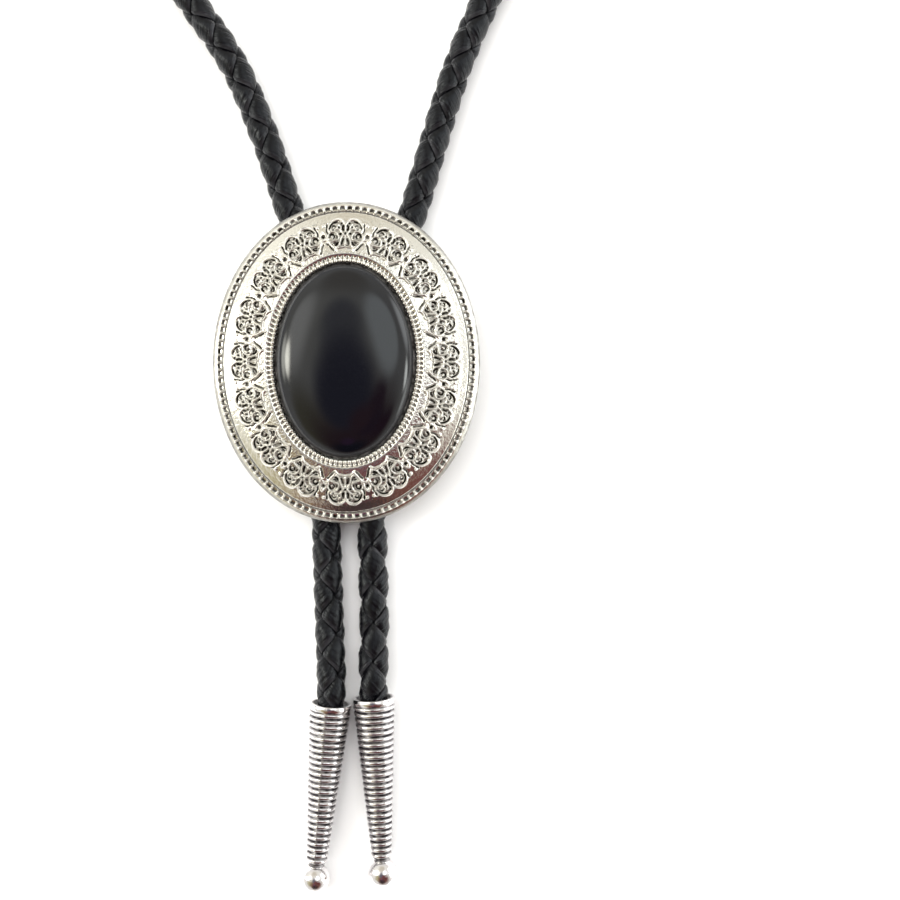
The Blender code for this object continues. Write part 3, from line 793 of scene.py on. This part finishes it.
def make_stone(material):
    """Polished oval cabochon with a narrow bevel at its girdle."""
    base_z = POCKET_FLOOR_Z + GAP
    girdle_z = base_z + STONE_GIRDLE
    turns = np.linspace(0.0, pi / 2, 60)[:-1]
    bevel = np.array([0.0, 0.04, 0.15]) * MM
    reach = np.concatenate([[0.96, 0.995, 1.0], np.cos(turns) ** (2 / STONE_FULLNESS)])
    rise = STONE_DOME * np.sin(turns) ** (2 / STONE_FULLNESS)
    height = np.concatenate([base_z + bevel, girdle_z + rise])
    around = np.linspace(0.0, 2 * pi, PLAIN_COLUMNS, endpoint=False)
    x = (OPENING_HALF_X - GAP) * reach[:, None] * np.sin(around)
    y = (OPENING_HALF_Y - GAP) * reach[:, None] * np.cos(around)
    z = np.repeat(height[:, None], PLAIN_COLUMNS, axis=1)
    edge = np.repeat(smooth_step(reach, 0.955, 0.99)[:, None], PLAIN_COLUMNS, axis=1)
    edge[:len(bevel)] = 1.0
    rows = np.stack([x, y, z], axis=-1)
    piece = capped_object("stone_dome", rows, material, {"edge": edge})
    piece.data.vertices[len(piece.data.vertices) - 1].co.z = girdle_z + STONE_DOME
    dress(piece, "black_stone", "stone")


def tip_axis(mouth, lean):
    """The tip's mouth and its direction towards the ball, lying on collar and ball."""
    start = np.array([*mouth, COLLAR_RADIUS * cos(TIP_SLOPE)])
    level = cos(TIP_SLOPE)
    return start, np.array([sin(lean) * level, -cos(lean) * level, -sin(TIP_SLOPE)])


def tip_profile():
    """Distance from the mouth, radius and darkness along the tip's outside."""
    ribs = np.linspace(COLLAR_LENGTH, RIBS_END, RIB_COUNT * 10 + 1)
    share = (ribs - COLLAR_LENGTH) / (RIBS_END - COLLAR_LENGTH)
    crest = COLLAR_RADIUS + (LAST_RIB_DIAMETER / 2 - COLLAR_RADIUS) * share
    phase = (ribs - COLLAR_LENGTH) / RIB_PITCH % 1.0
    from_groove = np.minimum(phase, 1.0 - phase) * RIB_PITCH
    groove = np.exp(-(from_groove / RIB_GROOVE_WIDTH) ** 2)
    shoulder = RIB_SHOULDER * (np.abs(phase - 0.5) * 2) ** 3
    rib_radius = crest - RIB_GROOVE_DEPTH * groove - shoulder
    neck_radius = NECK_DIAMETER / 2
    neck_turn = asin(neck_radius / BALL_RADIUS)
    neck = np.linspace(RIBS_END + 0.03 * MM, BALL_DISTANCE - BALL_RADIUS * cos(neck_turn), 7)
    flare = (0.16 * MM) * (2 * np.linspace(0.0, 1.0, len(neck)) - 1) ** 4
    turns = np.linspace(neck_turn + 0.03, pi, 34)[:-1]
    ball = BALL_DISTANCE - BALL_RADIUS * np.cos(turns)
    collar = np.array([0.0, 0.03, 0.10, 0.5, 0.80]) * MM
    collar_radius = COLLAR_RADIUS - np.array([0.12, 0.05, 0.0, 0.0, 0.0]) * MM
    distance = [collar, ribs[1:], neck, ball]
    radius = [collar_radius, rib_radius[1:], neck_radius + flare, BALL_RADIUS * np.sin(turns)]
    dark = [np.zeros(len(collar)), groove[1:] ** 0.65, np.full(len(neck), 0.85)]
    dark.append(np.zeros(len(turns)))
    return np.concatenate(distance), np.concatenate(radius), np.concatenate(dark)


def make_tip(name, mouth, lean, silver, seam):
    """Ribbed taper with dark grooves, a ball, and the socket for the cord's end.

    The casting seam is drawn with a strength from 0 to 1.
    """
    distance, radius, dark = tip_profile()
    on_ribs = (distance > COLLAR_LENGTH) & (distance < RIBS_END)
    end_radius = CORD_END_DIAMETER / 2 + GAP
    distance = np.concatenate([[SOCKET_DEPTH, SOCKET_TAPER, 0.02 * MM], distance])
    radius = np.concatenate([[end_radius, end_radius, TUNNEL_RADIUS], radius])
    dark = np.concatenate([[1.0, 1.0, 0.7], dark])
    on_ribs = np.concatenate([[False] * 3, on_ribs])
    start, way = tip_axis(mouth, lean)
    side = np.cross(way, (0.0, 0.0, 1.0))
    side /= np.linalg.norm(side)
    up = np.cross(side, way)
    around = np.linspace(0.0, 2 * pi, TIP_COLUMNS, endpoint=False)
    seam_line = seam * np.exp(-((around - SEAM_TURN) / SEAM_WIDTH) ** 2) * on_ribs[:, None]
    reach = radius[:, None] + SEAM_HEIGHT * seam_line
    ring = np.cos(around)[:, None] * up + np.sin(around)[:, None] * side
    rows = start + distance[:, None, None] * way + reach[:, :, None] * ring[None]
    patina_and_shade = dark[:, None] * (1.0 - 0.55 * seam_line) + 0.30 * seam_line
    dress(capped_object(name + "_ribbed", rows, silver, {"patina_and_shade": patina_and_shade}), "silver", name)


def sample(places, stops, values):
    """Vectors at any places along the cord, from those at its stops."""
    return np.stack([np.interp(places, stops, values[:, k]) for k in range(3)], axis=-1)


def full_route():
    """The cord's middle line from socket to socket, evenly spaced, with run lengths."""
    left_start, left_way = tip_axis(LEFT_MOUTH, LEFT_LEAN)
    right_start, right_way = tip_axis(RIGHT_MOUTH, RIGHT_LEAN)
    depth = SOCKET_DEPTH - GAP
    left = [left_start + left_way * depth, left_start + left_way * SOCKET_TAPER, left_start]
    right = [right_start, right_start + right_way * SOCKET_TAPER, right_start + right_way * depth]
    line = smooth_line(np.array([*left, *CORD_ROUTE, *right]), 24)
    line[:, 2] = np.maximum(line[:, 2], CORD_RADIUS)
    run = np.concatenate([[0.0], np.cumsum(np.linalg.norm(np.diff(line, axis=0), axis=1))])
    stops = np.linspace(0.0, run[-1], int(run[-1] / ROUTE_STEP))
    return sample(stops, run, line), stops


def cord_frame(line, stops):
    """Directions across the cord: its upper side and the right-hand side of its way."""
    way = np.gradient(line, stops, axis=0)
    way /= np.linalg.norm(way, axis=1)[:, None]
    side = np.cross(way, (0.0, 0.0, 1.0))
    side /= np.linalg.norm(side, axis=1)[:, None]
    return np.cross(side, way), side


def cord_roll(line, stops):
    """How far the braid has rolled about its own line, along the cord.

    It rolls by a quarter turn round the neck loop, and by an eighth behind the concho.
    """
    y = line[:, 1]
    from_end = stops[::-1]
    marks = (
        0.0,
        stops[np.argmax(y > LOOP_Y)],
        from_end[np.argmax(y[::-1] > LOOP_Y)],
        from_end[np.argmax(y[::-1] > HIDDEN_Y)],
        from_end[np.argmax(y[::-1] > -HIDDEN_Y)],
        stops[-1],
    )
    return np.interp(stops, marks, np.radians((0.0, 0.0, 90.0, 90.0, 135.0, 135.0)))


def make_lace(name, index, turning, route, leather):
    """One flat lace of the braid, carried over one and under one of the others.

    It winds round the cord to the right where `turning` is 1, to the left where it is -1.
    """
    line, stops, up, side, roll = route
    twist = 2 * pi / BRAID_PITCH
    total = stops[-1]
    own, phase = (index * pi, pi / 2) if turning > 0 else (index * pi - pi / 2, 0.0)
    half = pi / 2 * LACE_FILL
    turn = np.linspace(0.0, 2 * pi, LACE_SECTION_POINTS, endpoint=False)
    turn = turn + pi / LACE_SECTION_POINTS
    across = np.sign(np.cos(turn)) * np.abs(np.cos(turn)) ** 0.66
    thick = np.sign(np.sin(turn)) * np.abs(np.sin(turn)) ** 0.95
    other = np.arange(-half * 2, 2 * twist * total + half * 2, LACE_STEP)[:, None]
    lateral = own + half * across[None, :]
    turned = (lateral + turning * (other + turning * own)) / 2
    place = (other + turning * own - turning * lateral) / (2 * twist)
    crossing = (turned + turning * twist * place + phase) / pi + index
    weave = np.tanh(WEAVE_FLATNESS * turning * np.cos(pi * crossing)) / np.tanh(WEAVE_FLATNESS)
    place = np.clip(place, 0.0, total)
    mouth = SOCKET_DEPTH - GAP
    from_tip = np.minimum(place, total - place)
    squeeze = smooth_step(from_tip, mouth - SOCKET_TAPER, mouth + 1.2 * MM)
    scale = CORD_END_DIAMETER / CORD_DIAMETER * (1 - squeeze) + squeeze
    wrinkle = sum(
        height * np.sin(place / MM * rate + by_lace * index + by_side * across)
        for height, rate, by_lace, by_side in WRINKLES
    )
    middle = CORD_RADIUS - LACE_WEAVE - LACE_THICKNESS / 2 + BRAID_SWELL
    reach = middle + LACE_WEAVE * weave + LACE_THICKNESS / 2 * thick[None, :] + wrinkle * MM
    reach = (reach * scale)[..., None]
    angle = (turned + np.interp(place, stops, roll))[..., None]
    ring = np.cos(angle) * sample(place, stops, up) + np.sin(angle) * sample(place, stops, side)
    rows = sample(place, stops, line) + reach * ring
    rows[..., 2] = np.maximum(rows[..., 2], 0.02 * MM)
    # Outer edges where the lace lies over the others, lightened as a painted highlight.
    painted_edge_highlight = (np.abs(across) ** 6)[None, :] * np.clip(weave, 0.0, 1.0)
    width = LACE_FILL * LACE_WIDTH
    uv = np.stack([np.broadcast_to(across * width / 2, place.shape), place], axis=-1)
    dress(capped_object(name, rows, leather, {"painted_edge_highlight": painted_edge_highlight}, uv), "black_leather", "cord")


def make_cord(leather):
    """The four laces of the braid, from tip to tip."""
    line, stops = full_route()
    route = (line, stops, *cord_frame(line, stops), cord_roll(line, stops))
    for index in range(2):
        make_lace(f"lace_right_{index + 1}", index, 1, route, leather)
        make_lace(f"lace_left_{index + 1}", index, -1, route, leather)


def make_floor():
    bpy.ops.mesh.primitive_plane_add(size=3.0, location=(0.0, 0.1, -0.02 * MM))
    floor = bpy.context.object
    floor.name = "floor"
    floor.data.materials.append(floor_material("floor_white"))


def direction(azimuth, tilt):
    """Unit vector at an azimuth from +X and a tilt from straight up, in degrees."""
    a = radians(azimuth)
    t = radians(tilt)
    return (cos(a) * sin(t), sin(a) * sin(t), cos(t))


def make_world():
    """Sky from horizon to top, with the patches of the surroundings laid over it in turn."""
    world = bpy.data.worlds.new("studio")
    world.use_nodes = True
    bpy.context.scene.world = world
    nodes = Nodes(world.node_tree)
    way = nodes.add("ShaderNodeTexCoord").outputs["Generated"]
    height = nodes.add("ShaderNodeSeparateXYZ", {0: way}).outputs["Z"]
    color = nodes.mix(nodes.spread(height, 0.05, 0.32), HORIZON, SKY)
    for azimuth, tilt, inner, outer, patch in SURROUNDINGS:
        vectors = {0: way, 1: direction(azimuth, tilt)}
        dot = nodes.add("ShaderNodeVectorMath", vectors, operation="DOT_PRODUCT").outputs["Value"]
        limits = {"From Min": cos(radians(outer)), "From Max": cos(radians(inner))}
        near = nodes.add(
            "ShaderNodeMapRange", {"Value": dot, **limits}, interpolation_type="SMOOTHSTEP"
        )
        color = nodes.mix(near.outputs["Result"], color, patch)
    background = world.node_tree.nodes["Background"].inputs
    nodes.feed(background, {"Color": color, "Strength": 1.0})


def add_window(name, azimuth, tilt, half_width, half_height, radiance):
    """Soft rectangular light, one metre away, its size given as half angles in degrees."""
    light = bpy.data.lights.new(name, "AREA")
    light.shape = "RECTANGLE"
    light.size = 2 * tan(radians(half_width))
    light.size_y = 2 * tan(radians(half_height))
    light.energy = radiance * pi * light.size * light.size_y
    lamp = bpy.data.objects.new(name, light)
    way = Vector(direction(azimuth, tilt))
    lamp.location = way
    lamp.rotation_euler = way.to_track_quat("Z", "Y").to_euler()
    lamp.visible_camera = False
    lamp.visible_glossy = False
    bpy.context.scene.collection.objects.link(lamp)


def make_camera():
    data = bpy.data.cameras.new("photo_camera")
    data.sensor_width = SENSOR_WIDTH
    data.lens = FOCAL_PIXELS * SENSOR_WIDTH / PHOTO_WIDTH
    data.clip_start = 0.005
    camera = bpy.data.objects.new("photo_camera", data)
    camera.location = CAMERA_AT
    bpy.context.scene.collection.objects.link(camera)
    bpy.context.scene.camera = camera


def main():
    make_camera()
    make_cord(leather_material("lace_leather"))
    silver = silver_material("silver_plate", (0.88, 0.86, 0.805), (0.022, 0.018, 0.014))
    tip_silver = silver_material("silver_tips", (0.85, 0.825, 0.835), (0.034, 0.028, 0.034))
    middle = MOTIF_START + MOTIF_BAND / 2
    make_face("concho_face_inner", BEAD_BAND + 0.55 * MM, middle, silver)
    make_face("concho_face_outer", middle, FACE_END, silver)
    make_beads(silver)
    make_rim(silver)
    make_concho_back(silver)
    make_stone(stone_material("black_cabochon"))
    make_tip("tip_left", LEFT_MOUTH, LEFT_LEAN, tip_silver, 1.0)
    make_tip("tip_right", RIGHT_MOUTH, RIGHT_LEAN, tip_silver, 0.0)
    steel = steel_material("clasp_steel")
    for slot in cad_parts["clasp"].material_slots:
        slot.material = steel
    make_floor()
    make_world()
    for window in WINDOWS:
        add_window(*window)
    bpy.context.scene.view_settings.view_transform = "Standard"


main()
